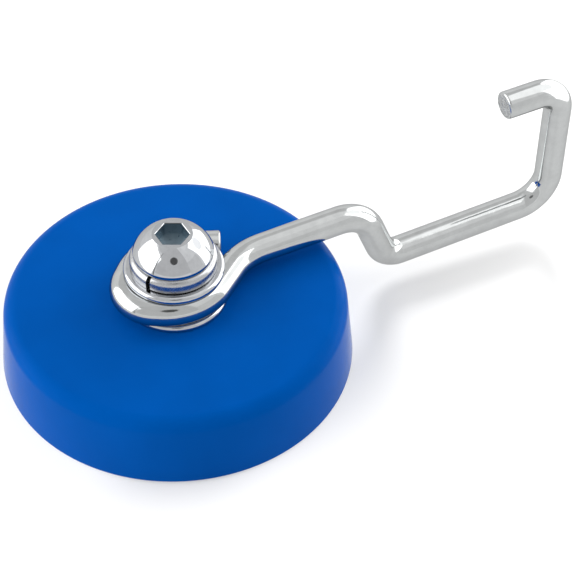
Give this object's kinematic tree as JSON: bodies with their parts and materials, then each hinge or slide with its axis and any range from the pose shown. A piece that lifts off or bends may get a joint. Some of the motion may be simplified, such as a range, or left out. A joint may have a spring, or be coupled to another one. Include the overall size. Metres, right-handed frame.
{
  "type": "magnetic hook",
  "caption": "Plastic-covered round pot magnet carrying a bent round-wire hook, whose eye swivels under a domed socket screw with flat and lock washers.",
  "frame": {"origin": "centre of the magnet's flat holding face, on the screw's axis", "axes": "+Z along the screw, away from the magnet's face; +X along the hook's arm at rest; +Y across the arm"},
  "size_m": [0.0748, 0.0424, 0.0239],
  "materials": {
    "blue_cover": "moulded, semi-gloss, bright blue",
    "zinc_cup": "pressed steel, bright zinc plate",
    "ferrite": "ground sintered ferrite, dark grey, matte",
    "resin": "cast black epoxy, slightly glossy",
    "zinc_nut": "bright zinc plate",
    "plated_screw": "bright nickel-chrome plate",
    "plated_washer": "bright nickel plate on stamped steel",
    "plated_spring_steel": "bright nickel plate on spring steel",
    "plated_wire": "bright chrome plate on drawn round wire"
  },
  "bodies": {
    "base": {"plastic_cover": "blue_cover", "steel_cup": "zinc_cup", "ring_magnet": "ferrite", "resin_ring": "resin", "hex_nut": "zinc_nut", "socket_screw": "plated_screw", "lower_washer": "plated_washer", "upper_washer": "plated_washer", "lock_washer": "plated_spring_steel"},
    "hook": {"wire_hook": "plated_wire"}
  },
  "joints": [
    {"name": "hook_swivel", "type": "hinge", "parent": "base", "child": "hook", "pos_m": [0, 0, 0.01203], "axis": [0, 0, 1], "continuous": true}
  ]
}
